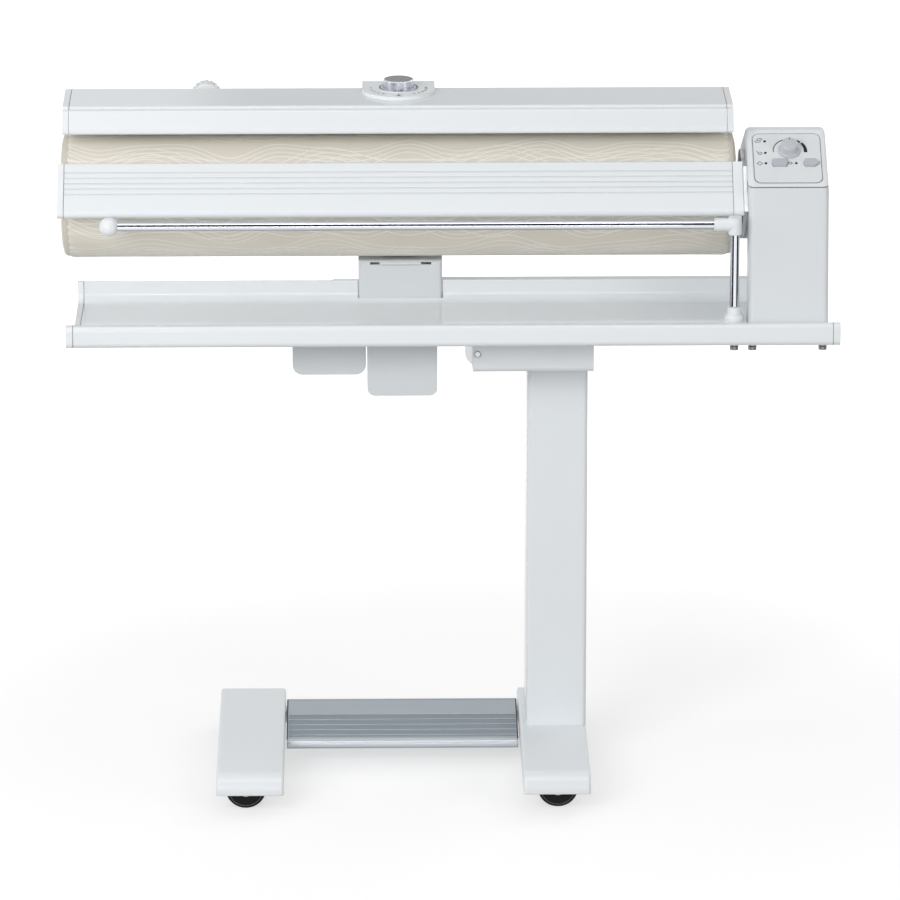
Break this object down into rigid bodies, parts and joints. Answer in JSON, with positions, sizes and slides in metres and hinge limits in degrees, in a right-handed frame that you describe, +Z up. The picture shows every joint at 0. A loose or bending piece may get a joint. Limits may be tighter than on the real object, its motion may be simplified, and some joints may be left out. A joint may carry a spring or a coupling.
{
  "type": "rotary ironer",
  "caption": "Free-standing folding rotary ironer with cloth roller, lifting heated shoe, tray, rail, control head and foot pedal on castors.",
  "frame": {"origin": "centre of the bounding box's base, on the floor", "axes": "+X along the roller towards the control head, -Y towards the user, +Z up"},
  "size_m": [1.004, 0.38, 0.941],
  "materials": {
    "white_paint": "semi-gloss white powder coat",
    "white_plastic": "satin white moulded plastic",
    "grey_plastic": "satin grey",
    "dark_grey_plastic": "satin dark grey",
    "lilac_plastic": "satin pale lilac grey",
    "black_rubber": "smooth black rubber",
    "black_plastic": "satin black",
    "chrome": "polished chrome plate",
    "steel": "zinc-plated steel",
    "aluminium": "anodised grooved aluminium",
    "hot_plate": "polished pressing face",
    "cloth": "beige cotton with pale wavy lines",
    "felt": "thick needled felt",
    "circuit": "green circuit board"
  },
  "bodies": {
    "stand": {"foot_shell_left": "white_plastic", "foot_shell_right": "white_plastic", "castor_brackets": "steel", "foot_cross_tube": "steel", "column_fixings": "steel", "column_tube": "white_paint", "console": "white_plastic", "fold_pin": "steel", "fold_buffers": "black_rubber", "pedal_bushes": "black_plastic", "pedal_switch": "black_plastic"},
    "wheel_front_left": {"castor_wheel_front_left": "black_rubber"},
    "wheel_front_right": {"castor_wheel_front_right": "black_rubber"},
    "wheel_rear_left": {"castor_wheel_rear_left": "black_rubber"},
    "wheel_rear_right": {"castor_wheel_rear_right": "black_rubber"},
    "foot_pedal": {"pedal": "aluminium", "pedal_pivots": "steel"},
    "machine": {"fold_saddle": "steel", "machine_frame": "white_paint", "tray": "white_paint", "tray_end_caps": "white_plastic", "tray_front_bar": "white_paint", "machine_screws": "steel", "arm_pivot_pin": "steel", "lift_motor": "dark_grey_plastic", "drive_box_left": "white_plastic", "drive_box_right": "white_plastic", "arm_cover": "white_plastic", "feeder_plate": "white_paint", "feeder_end_caps": "white_plastic", "bearing_plate": "steel", "head_body": "white_plastic", "head_front_cover": "white_plastic", "control_housing": "white_plastic", "control_panel": "white_plastic", "control_board": "circuit", "gearbox": "steel", "drive_motor": "steel", "rail_socket": "white_plastic"},
    "roller": {"roller_cloth": "cloth", "roller_padding": "felt", "roller_core": "steel", "roller_shaft": "steel"},
    "heater": {"hot_plate": "hot_plate", "heating_elements": "steel", "heater_spine": "steel", "heater_cover": "white_paint", "heater_end_caps": "white_plastic", "heater_arm": "steel", "thermostat": "steel", "dial_plate": "white_plastic"},
    "guard": {"finger_guard": "white_plastic"},
    "temperature_dial": {"temperature_knob": "grey_plastic"},
    "release": {"release_knob": "white_plastic"},
    "speed_dial": {"speed_knob": "white_plastic"},
    "start_button": {"button_left": "lilac_plastic"},
    "heat_button": {"button_right": "lilac_plastic"},
    "rail": {"rail_rods": "chrome", "rail_fittings": "white_plastic"},
    "cam": {"lift_cam": "steel"}
  },
  "joints": [
    {"name": "wheel_front_left_spin", "type": "hinge", "parent": "stand", "child": "wheel_front_left", "pos_m": [-0.2665, -0.144, 0.0265], "axis": [0, 1, 0], "continuous": true},
    {"name": "wheel_front_right_spin", "type": "hinge", "parent": "stand", "child": "wheel_front_right", "pos_m": [0.143, -0.144, 0.0265], "axis": [0, 1, 0], "continuous": true},
    {"name": "wheel_rear_left_spin", "type": "hinge", "parent": "stand", "child": "wheel_rear_left", "pos_m": [-0.2665, 0.144, 0.0265], "axis": [0, 1, 0], "continuous": true},
    {"name": "wheel_rear_right_spin", "type": "hinge", "parent": "stand", "child": "wheel_rear_right", "pos_m": [0.143, 0.144, 0.0265], "axis": [0, 1, 0], "continuous": true},
    {"name": "pedal_press", "type": "hinge", "parent": "stand", "child": "foot_pedal", "pos_m": [-0.06, 0.104, 0.044], "axis": [1, 0, 0], "range_deg": [0, 6.5], "stiffness_Nm_per_rad": 3, "springref_deg": -17.19},
    {"name": "machine_fold", "type": "hinge", "parent": "stand", "child": "machine", "pos_m": [0.0382, 0, 0.5984], "axis": [0, -1, 0], "range_deg": [0, 90]},
    {"name": "roller_turn", "type": "hinge", "parent": "machine", "child": "roller", "pos_m": [-0.06, -0.005, 0.794], "axis": [1, 0, 0], "continuous": true},
    {"name": "heater_lift", "type": "hinge", "parent": "machine", "child": "heater", "pos_m": [-0.062, 0.09, 0.69], "axis": [1, 0, 0], "range_deg": [0, 6.5]},
    {"name": "guard_tip", "type": "hinge", "parent": "heater", "child": "guard", "pos_m": [-0.062, -0.062, 0.914], "axis": [-1, 0, 0], "range_deg": [0, 8]},
    {"name": "temperature_turn", "type": "hinge", "parent": "heater", "child": "temperature_dial", "pos_m": [-0.063, 0.018, 0.93], "axis": [0, 0, 1], "range_deg": [0, 270]},
    {"name": "release_turn", "type": "hinge", "parent": "heater", "child": "release", "pos_m": [-0.3145, 0.095, 0.896], "axis": [0, 1, 0], "range_deg": [0, 90]},
    {"name": "speed_turn", "type": "hinge", "parent": "machine", "child": "speed_dial", "pos_m": [0.4396, -0.0684, 0.864], "axis": [0, -0.5145, 0.8575], "range_deg": [0, 270]},
    {"name": "start_press", "type": "slide", "parent": "machine", "child": "start_button", "axis": [0, 0.5145, -0.8575], "range_m": [0, 0.0015], "stiffness_N_per_m": 300, "springref_m": -0.002},
    {"name": "heat_press", "type": "slide", "parent": "machine", "child": "heat_button", "axis": [0, 0.5145, -0.8575], "range_m": [0, 0.0015], "stiffness_N_per_m": 300, "springref_m": -0.002},
    {"name": "rail_swing", "type": "hinge", "parent": "machine", "child": "rail", "pos_m": [0.3666, -0.145, 0.7], "axis": [0, 0, 1], "range_deg": [0, 90]},
    {"name": "cam_turn", "type": "hinge", "parent": "machine", "child": "cam", "pos_m": [-0.0625, 0.1193, 0.6], "axis": [1, 0, 0], "range_deg": [0, 180]}
  ],
  "couplings": [
    {"joint": "cam_turn", "follows": "heater_lift", "ratio": 27.692}
  ]
}
